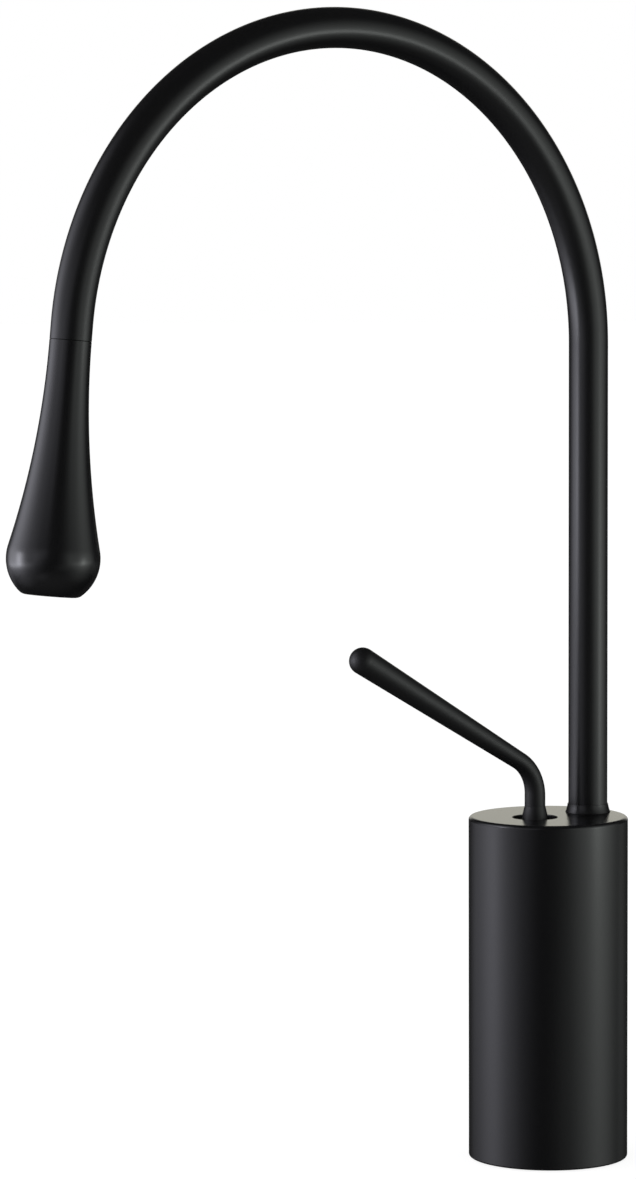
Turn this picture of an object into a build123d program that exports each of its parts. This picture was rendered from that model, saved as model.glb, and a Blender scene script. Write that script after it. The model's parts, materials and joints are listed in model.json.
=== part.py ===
from build123d import *

import os
from math import asin, atan2, cos, hypot, radians, sin, sqrt, tan

# Tall single-lever mixer tap: a round column, a swan-neck spout that swivels, a drop-shaped nozzle
# and a bent rod lever on a joystick cartridge.
# Millimetres. The origin is the centre of the column's foot, on the deck. +Z points up and the
# spout reaches towards -Y, over the basin. The tap is symmetric about the plane X = 0.

os.makedirs("parts", exist_ok=True)

# Column
COLUMN_DIAMETER = 50.0
COLUMN_HEIGHT = 108.0
COLUMN_WALL = 2.0
COLUMN_TOP = 3.0
COLUMN_TOP_ROUND = 1.2
COLUMN_FOOT_ROUND = 0.6
HOLE_EDGE_ROUND = 0.3

# Spout tube, its arch and the ring at its foot
TUBE_DIAMETER = 12.3
TUBE_WALL = 1.2
ARCH_SPRING_HEIGHT = 256.0
ARCH_RADIUS = 97.0
ARCH_SWEEP = 174.0
TUBE_TAIL = 4.6
COLLAR_HEIGHT = 2.7
COLLAR_FOOT = 0.95
COLLAR_WAIST = 0.48
COLLAR_LIP = 0.25

# Drop-shaped nozzle, measured along its own axis from the seam
NOZZLE_LENGTH = 74.4
BULB_DIAMETER = 27.5
BULB_ROUND = 13.5
OUTLET_DIAMETER = 15.2
OUTLET_RIM = 1.4
OUTLET_ROUND = 0.8
NOZZLE_BORE = 8.0

# Lever
STEM_DIAMETER = 6.5
NECK_DIAMETER = 5.7
TIP_DIAMETER = 8.4
LEVER_CORNER_HEIGHT = 14.6
LEVER_BEND_RADIUS = 13.0
HANDLE_LENGTH = 77.6
HANDLE_RISE = 30.0
FERRULE_DIAMETER = 7.8
FERRULE_SHOW = 3.5
FERRULE_STRAIGHT = 1.0

# Lever mechanism
LEVER_TILT = 15.0
PIVOT_DEPTH = 9.0
PIVOT_PIN_DIAMETER = 2.5
BALL_ARM = 8.7
BALL_DIAMETER = 4.1
SPINDLE_WIDTH = 5.0
SPINDLE_NECK_DIAMETER = 2.6
SPINDLE_BLADE_DROP = 4.5
STUD_DIAMETER = 4.0
STUD_ENGAGEMENT = 6.5

# Joystick cartridge
CARTRIDGE_WALL = 1.4
CARTRIDGE_LID = 2.5
CARTRIDGE_FLOOR = 4.0
ROTOR_NECK_DIAMETER = 14.8
ROTOR_OVER_PIVOT = 3.0
ROTOR_FLANGE = 7.0
CARRIER_PLATE = 2.2
CARRIER_FLOOR = 0.8
CARRIER_OVER_BALL = 2.2
CARRIER_BLOCK_WIDTH = 10.0
CARRIER_KEY_DIAMETER = 2.4
CARRIER_KEY_HEIGHT = 1.4
CARRIER_KEY_INSET = 1.8
DISC_THICKNESS = 3.0
MIXING_POCKET_DEPTH = 1.5
PORT_ARC_RADIUS = 6.0
PORT_ARC_WIDTH = 2.0
PORT_ARC_START = 20.0
PORT_ARC_SPAN = 32.0
PORT_ANGLE = 36.0
PORT_RADIUS = 6.8
INLET_PORT_DIAMETER = 4.0
OUTLET_PORT_DIAMETER = 4.4
PORT_SEAL_WIDTH = 0.7
PORT_SEAL_HEIGHT = 1.5
LOCATING_PIN_DIAMETER = 2.6
LOCATING_PIN_LENGTH = 2.5
LOCATING_PIN_INSET = 2.8
LOCATING_PIN_ANGLE = 28.0

# Valve body and what holds it
VALVE_FLOOR = 23.0
SOCKET_BACK_WALL = 1.9
POCKET_FRONT_WALL = 3.5
POCKET_WEB = 2.3
NUT_LAND = 1.5
NUT_GAP = 0.5
NUT_NOTCH_WIDTH = 3.0
NUT_NOTCH_DEPTH = 2.0
INLET_THREAD_DIAMETER = 9.0
INLET_THREAD_DEPTH = 10.0
INLET_SPREAD = 15.0
INLET_FRONT = 6.0
CROSS_DRILL_DIAMETER = 4.8
CROSS_DRILL_DEPTH = 5.5
PLUG_LENGTH = 5.0
LOCK_RING_HEIGHT = 6.0
LOCK_RING_WIDTH = 2.4
LOCK_RING_NOTCH_WIDTH = 5.0
LOCK_RING_NOTCH_HEIGHT = 2.5

# Spigot on which the spout swivels
SPIGOT_INSERT = 16.0
SPIGOT_BORE = 6.4
SPIGOT_RECESS = 6.0
GALLERY_DEPTH = 0.95
GALLERY_HEIGHT = 6.4
GALLERY_HOLE_DIAMETER = 3.2
GALLERY_DRILLINGS = 2
ORING_SECTION = 1.3
ORING_SPACING = 3.0
THRUST_WASHER_HEIGHT = 0.8
RETAINING_WASHER_HEIGHT = 1.2
RETAINING_WASHER_OVERLAP = 0.4
SCREW_DIAMETER = 5.0
SCREW_LENGTH = 7.0
SCREW_HEAD_DIAMETER = 8.4
SCREW_HEAD_HEIGHT = 3.0
SCREW_SOCKET_WIDTH = 4.0
SCREW_SOCKET_DEPTH = 1.8

# Foot
FOOT_HEIGHT = 8.0
HOSE_PASSAGE_DIAMETER = 12.4
STUD_HOLE_DIAMETER = 6.8
STUD_HOLE_BACK = 13.5
SEAL_SECTION = 1.9
SEAL_INSET = 2.5

# Nipple and mixing insert in the nozzle
CONNECTOR_IN_NOZZLE = 12.0
CONNECTOR_BORE = 6.4
NOZZLE_ORING_SECTION = 0.9
NOZZLE_ORING_INSET = 2.5
AERATOR_DEPTH = 12.5
AERATOR_WALL = 1.1
AERATOR_RECESS = 0.6
AERATOR_LIP = 0.7
AERATOR_LIP_HEIGHT = 1.8
AERATOR_SEAL_HEIGHT = 1.5
SCREEN_THICKNESS = 1.2
SCREEN_HOLE_DIAMETER = 1.0
SCREEN_HOLE_PITCH = 1.6

# Clearances
FIT = 0.05  # radial, for pieces that slide or turn in each other
SEAT = 0.02  # between a piece and what it is pressed or screwed into
RUN = 0.3  # between moving pieces that don't bear on each other
BALL_PLAY = 0.15
HOLE_PLAY = 0.6  # between the tilted lever and its hole's edge
AXIAL_PLAY = 0.2

# Radii and heights that several pieces share
column_radius = COLUMN_DIAMETER / 2
bore_radius = column_radius - COLUMN_WALL
valve_radius = bore_radius - FIT
valve_top = COLUMN_HEIGHT - COLUMN_TOP
tube_radius = TUBE_DIAMETER / 2
tube_bore = tube_radius - TUBE_WALL
spigot_radius = tube_bore - SEAT
socket_radius = spigot_radius + FIT
tilt = radians(LEVER_TILT)

# The spout's axis lies a wall's thickness inside the valve body's back, and the cartridge fills
# the room in front of it.
spout_y = valve_radius - SOCKET_BACK_WALL - socket_radius
nut_room = 2 * valve_radius - SOCKET_BACK_WALL - 2 * socket_radius - POCKET_WEB - POCKET_FRONT_WALL
nut_radius = nut_room / 2
lever_y = -valve_radius + POCKET_FRONT_WALL + nut_radius
cartridge_radius = nut_radius - NUT_LAND
pocket_radius = cartridge_radius + FIT
cartridge_bore = cartridge_radius - CARTRIDGE_WALL
rotor_neck = ROTOR_NECK_DIAMETER / 2
lever_axis = Axis((0, lever_y, 0), (0, 0, 1))
spout_axis = Axis((0, spout_y, 0), (0, 0, 1))
lever_section = Plane(origin=(0, lever_y, 0), x_dir=(1, 0, 0), z_dir=(0, -1, 0))
spout_section = Plane(origin=(0, spout_y, 0), x_dir=(1, 0, 0), z_dir=(0, -1, 0))

# The cartridge's levels, from the lever's pivot down and then up
ball_radius = BALL_DIAMETER / 2
ball_socket = ball_radius + BALL_PLAY
disc_travel = BALL_ARM * sin(tilt)
pivot_z = COLUMN_HEIGHT - PIVOT_DEPTH
ball_z = pivot_z - BALL_ARM
ball_socket_floor = ball_z - ball_socket
carrier_bottom = ball_socket_floor - CARRIER_FLOOR
carrier_top = ball_z + CARRIER_OVER_BALL
plate_top = carrier_bottom + CARRIER_PLATE
moving_disc_bottom = carrier_bottom - DISC_THICKNESS
fixed_disc_bottom = moving_disc_bottom - DISC_THICKNESS
pocket_floor = fixed_disc_bottom - CARTRIDGE_FLOOR
rotor_bottom = plate_top + RUN
rotor_shoulder = rotor_bottom + ROTOR_FLANGE
rotor_top = pivot_z + ROTOR_OVER_PIVOT
lid_bottom = rotor_shoulder + FIT
nut_bottom = lid_bottom + CARTRIDGE_LID
nut_top = valve_top - NUT_GAP
moving_disc_radius = cartridge_bore - disc_travel - RUN
mixing_radius = PORT_ARC_RADIUS - PORT_ARC_WIDTH / 2 - RUN

# The tilted ferrule clears the rotor below it and the hole round it.
ferrule_radius = FERRULE_DIAMETER / 2
ferrule_bottom = pivot_z + (ROTOR_OVER_PIVOT + RUN + ferrule_radius * sin(tilt)) / cos(tilt)
ferrule_top = COLUMN_HEIGHT + FERRULE_SHOW
lever_hole_radius = ferrule_radius / cos(tilt) + PIVOT_DEPTH * tan(tilt) + HOLE_PLAY

# Levels of the valve body and the spigot
valve_bottom = pocket_floor - VALVE_FLOOR
cross_z = pocket_floor - CROSS_DRILL_DEPTH
tube_bottom = valve_top + THRUST_WASHER_HEIGHT
spigot_shoulder = valve_bottom + SPIGOT_RECESS
spigot_bottom = spigot_shoulder - AXIAL_PLAY
retaining_washer_radius = socket_radius + RETAINING_WASHER_OVERLAP

# Ports of the cartridge, as points from the lever's axis: two inlets in front, the outlet central
inlet_ports = [
    (side * PORT_RADIUS * sin(radians(PORT_ANGLE)), -PORT_RADIUS * cos(radians(PORT_ANGLE)))
    for side in (-1, 1)
]
inlet_threads = [(side * INLET_SPREAD / 2, -INLET_FRONT) for side in (-1, 1)]
locating_pins = [
    (
        side * (cartridge_radius - LOCATING_PIN_INSET) * cos(radians(LOCATING_PIN_ANGLE)),
        (cartridge_radius - LOCATING_PIN_INSET) * sin(radians(LOCATING_PIN_ANGLE)),
    )
    for side in (-1, 1)
]

# Column

with BuildPart() as column_shell:
    with BuildSketch():
        Circle(column_radius)
    extrude(amount=COLUMN_HEIGHT)
    fillet(column_shell.faces().sort_by(Axis.Z)[-1].edges(), COLUMN_TOP_ROUND)
    fillet(column_shell.faces().sort_by(Axis.Z)[0].edges(), COLUMN_FOOT_ROUND)
    with BuildSketch():
        Circle(bore_radius)
    extrude(amount=valve_top, mode=Mode.SUBTRACT)
    with Locations((0, lever_y, COLUMN_HEIGHT)):
        Hole(lever_hole_radius, depth=COLUMN_TOP)
    with Locations((0, spout_y, COLUMN_HEIGHT)):
        Hole(tube_radius + FIT, depth=COLUMN_TOP)
    hole_rims = column_shell.faces().sort_by(Axis.Z)[-1].inner_wires().edges()
    fillet(hole_rims.sort_by(Axis.Y)[0], HOLE_EDGE_ROUND)

column_shell.part.label = "column_shell"
export_step(column_shell.part, "parts/column_shell.step")

# Valve body: pocket and nut thread above, spout socket through, inlets below, slanted drillings
# from the inlets to the pocket, and a cross drilling from the outlet to the socket

with BuildPart() as valve_body:
    with BuildSketch(Plane.XY.offset(valve_bottom)):
        Circle(valve_radius)
    extrude(amount=valve_top - valve_bottom)
    with Locations((0, lever_y, valve_top)):
        CounterBoreHole(
            radius=pocket_radius,
            counter_bore_radius=nut_radius,
            counter_bore_depth=valve_top - nut_bottom,
            depth=valve_top - pocket_floor,
        )
    with Locations((0, spout_y, valve_top)):
        Hole(socket_radius)
    with BuildSketch(Plane.XY.offset(valve_bottom)):
        with Locations((0, spout_y)):
            Circle(retaining_washer_radius + RUN)
    extrude(amount=SPIGOT_RECESS, mode=Mode.SUBTRACT)
    with BuildSketch(Plane.XY.offset(valve_bottom)):
        with Locations(*inlet_threads):
            Circle(INLET_THREAD_DIAMETER / 2)
    extrude(amount=INLET_THREAD_DEPTH, mode=Mode.SUBTRACT)
    for thread, port in zip(inlet_threads, inlet_ports):
        drill_start = Vector(*thread, valve_bottom + INLET_THREAD_DEPTH - INLET_PORT_DIAMETER / 2)
        drill_end = Vector(port[0], port[1] + lever_y, pocket_floor)
        drill_run = drill_end - drill_start
        with BuildSketch(Plane(origin=drill_start, z_dir=drill_run)):
            Circle(INLET_PORT_DIAMETER / 2)
        extrude(amount=drill_run.length + INLET_PORT_DIAMETER / 2, mode=Mode.SUBTRACT)
    with Locations((0, lever_y, pocket_floor)):
        Hole(OUTLET_PORT_DIAMETER / 2, depth=CROSS_DRILL_DEPTH)
        with Locations(*locating_pins):
            Hole(LOCATING_PIN_DIAMETER / 2 + FIT, depth=LOCATING_PIN_LENGTH + AXIAL_PLAY)
    with BuildSketch(Plane(origin=(0, -valve_radius, cross_z), x_dir=(1, 0, 0), z_dir=(0, 1, 0))):
        Circle(CROSS_DRILL_DIAMETER / 2)
    extrude(amount=valve_radius + spout_y, mode=Mode.SUBTRACT)

valve_body.part.label = "valve_body"
export_step(valve_body.part, "parts/valve_body.step")

with BuildPart() as waterway_plug:
    plug_y = -sqrt(valve_radius**2 - (CROSS_DRILL_DIAMETER / 2) ** 2)
    with BuildSketch(Plane(origin=(0, plug_y, cross_z), x_dir=(1, 0, 0), z_dir=(0, 1, 0))):
        Circle(CROSS_DRILL_DIAMETER / 2 - SEAT)
    extrude(amount=PLUG_LENGTH)

waterway_plug.part.label = "waterway_plug"
export_step(waterway_plug.part, "parts/waterway_plug.step")

with BuildPart() as lock_ring:
    with BuildSketch(Plane.XY.offset(valve_bottom - LOCK_RING_HEIGHT)):
        Circle(valve_radius)
        Circle(valve_radius - LOCK_RING_WIDTH, mode=Mode.SUBTRACT)
    extrude(amount=LOCK_RING_HEIGHT)
    with BuildSketch(Plane.XY.offset(valve_bottom - LOCK_RING_HEIGHT)):
        Rectangle(COLUMN_DIAMETER, LOCK_RING_NOTCH_WIDTH)
    extrude(amount=LOCK_RING_NOTCH_HEIGHT, mode=Mode.SUBTRACT)

lock_ring.part.label = "lock_ring"
export_step(lock_ring.part, "parts/lock_ring.step")

# Foot, with two hose passages in line with the inlets, the stud's hole and a groove for the seal

seal_radius = valve_radius - SEAL_INSET

with BuildPart() as foot_ring:
    with BuildSketch():
        Circle(valve_radius)
    extrude(amount=FOOT_HEIGHT)
    with Locations(*inlet_threads):
        Hole(HOSE_PASSAGE_DIAMETER / 2)
    with Locations((0, STUD_HOLE_BACK)):
        Hole(STUD_HOLE_DIAMETER / 2)
    with BuildSketch():
        Circle(seal_radius + SEAL_SECTION / 2 + SEAT)
        Circle(seal_radius - SEAL_SECTION / 2 - SEAT, mode=Mode.SUBTRACT)
    extrude(amount=SEAL_SECTION + SEAT, mode=Mode.SUBTRACT)

foot_ring.part.label = "foot_ring"
export_step(foot_ring.part, "parts/foot_ring.step")

with BuildPart() as base_seal:
    with BuildSketch(Plane.XZ):
        with Locations((seal_radius, SEAL_SECTION / 2)):
            Circle(SEAL_SECTION / 2)
    revolve(axis=Axis.Z)

base_seal.part.label = "base_seal"
export_step(base_seal.part, "parts/base_seal.step")

# Cartridge

with BuildPart() as cartridge_housing:
    with BuildSketch(Plane.XY.offset(fixed_disc_bottom)):
        with Locations((0, lever_y)):
            Circle(cartridge_radius)
    extrude(amount=nut_bottom - fixed_disc_bottom)
    with BuildSketch(Plane.XY.offset(fixed_disc_bottom)):
        with Locations((0, lever_y)):
            Circle(cartridge_bore)
    extrude(amount=lid_bottom - fixed_disc_bottom, mode=Mode.SUBTRACT)
    with Locations((0, lever_y, nut_bottom)):
        Hole(rotor_neck + FIT, depth=CARTRIDGE_LID)

cartridge_housing.part.label = "cartridge_housing"
export_step(cartridge_housing.part, "parts/cartridge_housing.step")

with BuildPart() as cartridge_base:
    with BuildSketch(Plane.XY.offset(pocket_floor)):
        with Locations((0, lever_y)):
            Circle(cartridge_radius)
            Circle(OUTLET_PORT_DIAMETER / 2, mode=Mode.SUBTRACT)
            with Locations(*inlet_ports):
                Circle(INLET_PORT_DIAMETER / 2, mode=Mode.SUBTRACT)
    extrude(amount=CARTRIDGE_FLOOR)
    with BuildSketch(Plane.XY.offset(pocket_floor)):
        with Locations((0, lever_y)):
            Circle(OUTLET_PORT_DIAMETER / 2 + PORT_SEAL_WIDTH)
            with Locations(*inlet_ports):
                Circle(INLET_PORT_DIAMETER / 2 + PORT_SEAL_WIDTH)
    extrude(amount=PORT_SEAL_HEIGHT, mode=Mode.SUBTRACT)
    with BuildSketch(Plane.XY.offset(pocket_floor)):
        with Locations((0, lever_y)):
            with Locations(*locating_pins):
                Circle(LOCATING_PIN_DIAMETER / 2)
    extrude(amount=-LOCATING_PIN_LENGTH)

cartridge_base.part.label = "cartridge_base"
export_step(cartridge_base.part, "parts/cartridge_base.step")

with BuildPart() as cartridge_seals:
    with BuildSketch(Plane.XY.offset(pocket_floor)):
        with Locations((0, lever_y)):
            Circle(OUTLET_PORT_DIAMETER / 2 + PORT_SEAL_WIDTH - SEAT)
            Circle(OUTLET_PORT_DIAMETER / 2, mode=Mode.SUBTRACT)
            with Locations(*inlet_ports):
                Circle(INLET_PORT_DIAMETER / 2 + PORT_SEAL_WIDTH - SEAT)
                Circle(INLET_PORT_DIAMETER / 2, mode=Mode.SUBTRACT)
    extrude(amount=PORT_SEAL_HEIGHT)

cartridge_seals.part.label = "cartridge_seals"
export_step(cartridge_seals.part, "parts/cartridge_seals.step")

# The fixed disc's two curved ports lie in front of its central outlet. The moving disc's mixing
# pocket stays inside them at rest, whichever way the lever is turned, and reaches over them when
# the lever is lifted.

port_arcs = [
    CenterArc((0, 0), PORT_ARC_RADIUS, start, PORT_ARC_SPAN)
    for start in (-90 + PORT_ARC_START, -90 - PORT_ARC_START - PORT_ARC_SPAN)
]

with BuildPart() as fixed_disc:
    with BuildSketch(Plane.XY.offset(fixed_disc_bottom)):
        with Locations((0, lever_y)):
            Circle(cartridge_bore - RUN)
            Circle(OUTLET_PORT_DIAMETER / 2, mode=Mode.SUBTRACT)
            for port_arc in port_arcs:
                SlotArc(port_arc, PORT_ARC_WIDTH, mode=Mode.SUBTRACT)
    extrude(amount=DISC_THICKNESS)

fixed_disc.part.label = "fixed_disc"
export_step(fixed_disc.part, "parts/fixed_disc.step")

key_radius = moving_disc_radius - CARRIER_KEY_INSET
carrier_keys = [(-key_radius, 0), (key_radius, 0)]

with BuildPart() as moving_disc:
    with BuildSketch(Plane.XY.offset(moving_disc_bottom)):
        with Locations((0, lever_y)):
            Circle(moving_disc_radius)
    extrude(amount=DISC_THICKNESS)
    with BuildSketch(Plane.XY.offset(moving_disc_bottom)):
        with Locations((0, lever_y)):
            Circle(mixing_radius)
    extrude(amount=MIXING_POCKET_DEPTH, mode=Mode.SUBTRACT)
    with Locations((0, lever_y, carrier_bottom)):
        with Locations(*carrier_keys):
            Hole(CARRIER_KEY_DIAMETER / 2 + FIT, depth=CARRIER_KEY_HEIGHT + FIT)

moving_disc.part.label = "moving_disc"
export_step(moving_disc.part, "parts/moving_disc.step")

# The carrier's block slides in the rotor's groove, and the spindle's ball end works in its socket.

block_length = 2 * (sqrt((cartridge_bore - RUN) ** 2 - (CARRIER_BLOCK_WIDTH / 2) ** 2) - disc_travel)

with BuildPart() as disc_carrier:
    with BuildSketch(Plane.XY.offset(carrier_bottom)):
        with Locations((0, lever_y)):
            Circle(moving_disc_radius)
    extrude(amount=CARRIER_PLATE)
    with BuildSketch(Plane.XY.offset(plate_top)):
        with Locations((0, lever_y)):
            Rectangle(CARRIER_BLOCK_WIDTH, block_length)
    extrude(amount=carrier_top - plate_top)
    with BuildSketch(Plane.XY.offset(carrier_bottom)):
        with Locations((0, lever_y)):
            with Locations(*carrier_keys):
                Circle(CARRIER_KEY_DIAMETER / 2)
    extrude(amount=-CARRIER_KEY_HEIGHT)
    with Locations((0, lever_y, carrier_top)):
        Hole(ball_socket, depth=carrier_top - ball_socket_floor)

disc_carrier.part.label = "disc_carrier"
export_step(disc_carrier.part, "parts/disc_carrier.step")

# The rotor's slot gives the spindle room to tilt: forwards at its foot, backwards at its top.

blade_half = SPINDLE_WIDTH / 2
slot_front = blade_half / cos(tilt) + (pivot_z - rotor_bottom) * tan(tilt) + RUN
slot_back = blade_half / cos(tilt) + ROTOR_OVER_PIVOT * tan(tilt) + RUN

with BuildPart() as cartridge_rotor:
    with BuildSketch(Plane.XY.offset(rotor_bottom)):
        with Locations((0, lever_y)):
            Circle(cartridge_bore - RUN)
    extrude(amount=ROTOR_FLANGE)
    with BuildSketch(Plane.XY.offset(rotor_shoulder)):
        with Locations((0, lever_y)):
            Circle(rotor_neck)
    extrude(amount=rotor_top - rotor_shoulder)
    with BuildSketch(Plane.XY.offset(rotor_bottom)):
        with Locations((0, lever_y)):
            Rectangle(CARRIER_BLOCK_WIDTH + 2 * FIT, 2 * cartridge_radius)
    extrude(amount=carrier_top + RUN - rotor_bottom, mode=Mode.SUBTRACT)
    with BuildSketch(Plane.XY.offset(rotor_bottom)):
        with Locations((0, lever_y + (slot_back - slot_front) / 2)):
            Rectangle(SPINDLE_WIDTH + 2 * FIT, slot_front + slot_back)
    extrude(amount=rotor_top - rotor_bottom, mode=Mode.SUBTRACT)
    with BuildSketch(Plane(origin=(0, lever_y, pivot_z), x_dir=(0, 1, 0), z_dir=(1, 0, 0))):
        Circle(PIVOT_PIN_DIAMETER / 2 + SEAT)
    extrude(amount=rotor_neck, both=True, mode=Mode.SUBTRACT)

cartridge_rotor.part.label = "cartridge_rotor"
export_step(cartridge_rotor.part, "parts/cartridge_rotor.step")

with BuildPart() as pivot_pin:
    with BuildSketch(Plane(origin=(0, lever_y, pivot_z), x_dir=(0, 1, 0), z_dir=(1, 0, 0))):
        Circle(PIVOT_PIN_DIAMETER / 2)
    extrude(amount=rotor_neck - RUN, both=True)

pivot_pin.part.label = "pivot_pin"
export_step(pivot_pin.part, "parts/pivot_pin.step")

with BuildPart() as cartridge_nut:
    with BuildSketch(Plane.XY.offset(nut_bottom)):
        with Locations((0, lever_y)):
            Circle(nut_radius - SEAT)
            Circle(rotor_neck + HOLE_PLAY, mode=Mode.SUBTRACT)
    extrude(amount=nut_top - nut_bottom)
    with BuildSketch(Plane.XY.offset(nut_top)):
        with Locations((0, lever_y)):
            Rectangle(2 * cartridge_radius, NUT_NOTCH_WIDTH)
            Rectangle(NUT_NOTCH_WIDTH, 2 * cartridge_radius)
    extrude(amount=-NUT_NOTCH_DEPTH, mode=Mode.SUBTRACT)

cartridge_nut.part.label = "cartridge_nut"
export_step(cartridge_nut.part, "parts/cartridge_nut.step")

# Lever

stud_top = ferrule_top + STUD_ENGAGEMENT
blade_bottom = pivot_z - SPINDLE_BLADE_DROP

with BuildPart() as lever_spindle:
    with BuildSketch(Plane.XY.offset(blade_bottom)):
        with Locations((0, lever_y)):
            Rectangle(SPINDLE_WIDTH, SPINDLE_WIDTH)
    extrude(amount=ferrule_bottom - blade_bottom)
    with BuildSketch(Plane.XY.offset(ball_z)):
        with Locations((0, lever_y)):
            Circle(SPINDLE_NECK_DIAMETER / 2)
    extrude(amount=blade_bottom - ball_z)
    with Locations((0, lever_y, ball_z)):
        Sphere(ball_radius)
    with BuildSketch(Plane.XY.offset(ferrule_bottom)):
        with Locations((0, lever_y)):
            Circle(STUD_DIAMETER / 2)
    extrude(amount=stud_top - ferrule_bottom)
    with BuildSketch(Plane(origin=(0, lever_y, pivot_z), x_dir=(0, 1, 0), z_dir=(1, 0, 0))):
        Circle(PIVOT_PIN_DIAMETER / 2 + FIT)
    extrude(amount=SPINDLE_WIDTH, both=True, mode=Mode.SUBTRACT)

lever_spindle.part.label = "lever_spindle"
export_step(lever_spindle.part, "parts/lever_spindle.step")

stem_radius = STEM_DIAMETER / 2
stud_hole = STUD_DIAMETER / 2 + SEAT
ferrule_edge = COLUMN_HEIGHT + FERRULE_STRAIGHT

with BuildPart() as lever_ferrule:
    with BuildSketch(lever_section):
        with BuildLine():
            Polyline(
                (stud_hole, ferrule_top),
                (stud_hole, ferrule_bottom),
                (ferrule_radius, ferrule_bottom),
                (ferrule_radius, ferrule_edge),
                (stem_radius, ferrule_top),
                close=True,
            )
        make_face()
    revolve(axis=lever_axis)

lever_ferrule.part.label = "lever_ferrule"
export_step(lever_ferrule.part, "parts/lever_ferrule.step")

# The handle is one bent rod: an upright stem, a bend that thins to the neck, and a cone that
# widens to a round tip and runs smoothly into it.

bend_turn = 90 - HANDLE_RISE
bend_tangent = LEVER_BEND_RADIUS * tan(radians(bend_turn) / 2)
bend_start = COLUMN_HEIGHT + LEVER_CORNER_HEIGHT - bend_tangent
neck_radius = NECK_DIAMETER / 2
tip_radius = TIP_DIAMETER / 2
cone_length = HANDLE_LENGTH - bend_tangent
cone_reach = hypot(cone_length, neck_radius)
cone_slope = asin(tip_radius / cone_reach) - atan2(neck_radius, cone_length)
cone_side = sqrt(cone_reach**2 - tip_radius**2)

with BuildPart() as lever_handle:
    with BuildSketch(Plane.XY.offset(ferrule_top)):
        with Locations((0, lever_y)):
            Circle(stem_radius)
    extrude(amount=bend_start - ferrule_top)
    with BuildLine(Plane.YZ) as bend_path:
        CenterArc((lever_y - LEVER_BEND_RADIUS, bend_start), LEVER_BEND_RADIUS, 0, bend_turn)
    bend = bend_path.line
    with BuildSketch(Plane(origin=bend @ 0, z_dir=bend % 0)):
        Circle(stem_radius)
    with BuildSketch(Plane(origin=bend @ 1, z_dir=bend % 1)):
        Circle(neck_radius)
    sweep(path=bend, multisection=True)
    with BuildSketch(Plane(origin=bend @ 1, x_dir=bend % 1, z_dir=(1, 0, 0))):
        with BuildLine():
            side = PolarLine((0, neck_radius), cone_side, direction=(cos(cone_slope), sin(cone_slope)))
            TangentArc(side @ 1, (cone_length + tip_radius, 0), tangent=side % 1)
            Polyline((cone_length + tip_radius, 0), (0, 0), (0, neck_radius))
        make_face()
    revolve(axis=Axis(bend @ 1, bend % 1))
    with BuildSketch(Plane.XY.offset(ferrule_top)):
        with Locations((0, lever_y)):
            Circle(stud_hole)
    extrude(amount=STUD_ENGAGEMENT + RUN, mode=Mode.SUBTRACT)

lever_handle.part.label = "lever_handle"
export_step(lever_handle.part, "parts/lever_handle.step")

# Spout

with BuildPart() as spout_tube:
    with BuildLine(Plane.YZ) as spout_path:
        Line((spout_y, tube_bottom), (spout_y, ARCH_SPRING_HEIGHT))
        arch = CenterArc((spout_y - ARCH_RADIUS, ARCH_SPRING_HEIGHT), ARCH_RADIUS, 0, ARCH_SWEEP)
        PolarLine(arch @ 1, TUBE_TAIL, direction=arch % 1)
    with BuildSketch(Plane(origin=spout_path.line @ 0, z_dir=(0, 0, 1))):
        Circle(tube_radius)
        Circle(tube_bore, mode=Mode.SUBTRACT)
    sweep(path=spout_path.line)

spout_tube.part.label = "spout_tube"
export_step(spout_tube.part, "parts/spout_tube.step")

with BuildPart() as spout_collar:
    with BuildSketch(spout_section):
        with BuildLine():
            collar_side = Polyline(
                (tube_radius + COLLAR_LIP, COLUMN_HEIGHT + COLLAR_HEIGHT),
                (tube_radius + SEAT, COLUMN_HEIGHT + COLLAR_HEIGHT),
                (tube_radius + SEAT, COLUMN_HEIGHT),
                (tube_radius + COLLAR_FOOT, COLUMN_HEIGHT),
            )
            ThreePointArc(
                collar_side @ 1,
                (tube_radius + COLLAR_WAIST, COLUMN_HEIGHT + COLLAR_HEIGHT / 2),
                collar_side @ 0,
            )
        make_face()
    revolve(axis=spout_axis)

spout_collar.part.label = "spout_collar"
export_step(spout_collar.part, "parts/spout_collar.step")

with BuildPart() as thrust_washer:
    with BuildSketch(Plane.XY.offset(valve_top)):
        with Locations((0, spout_y)):
            Circle(tube_radius)
            Circle(socket_radius, mode=Mode.SUBTRACT)
    extrude(amount=THRUST_WASHER_HEIGHT)

thrust_washer.part.label = "thrust_washer"
export_step(thrust_washer.part, "parts/thrust_washer.step")

# The spigot is fixed in the tube's foot and turns in the valve body's socket. Water enters it
# through a gallery between two O-rings.

spigot_top = tube_bottom + SPIGOT_INSERT
oring_levels = [cross_z + step * (GALLERY_HEIGHT / 2 + ORING_SPACING) for step in (-1, 1)]
oring_groove = socket_radius - ORING_SECTION - 2 * SEAT
oring_ring = oring_groove + SEAT + ORING_SECTION / 2

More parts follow.
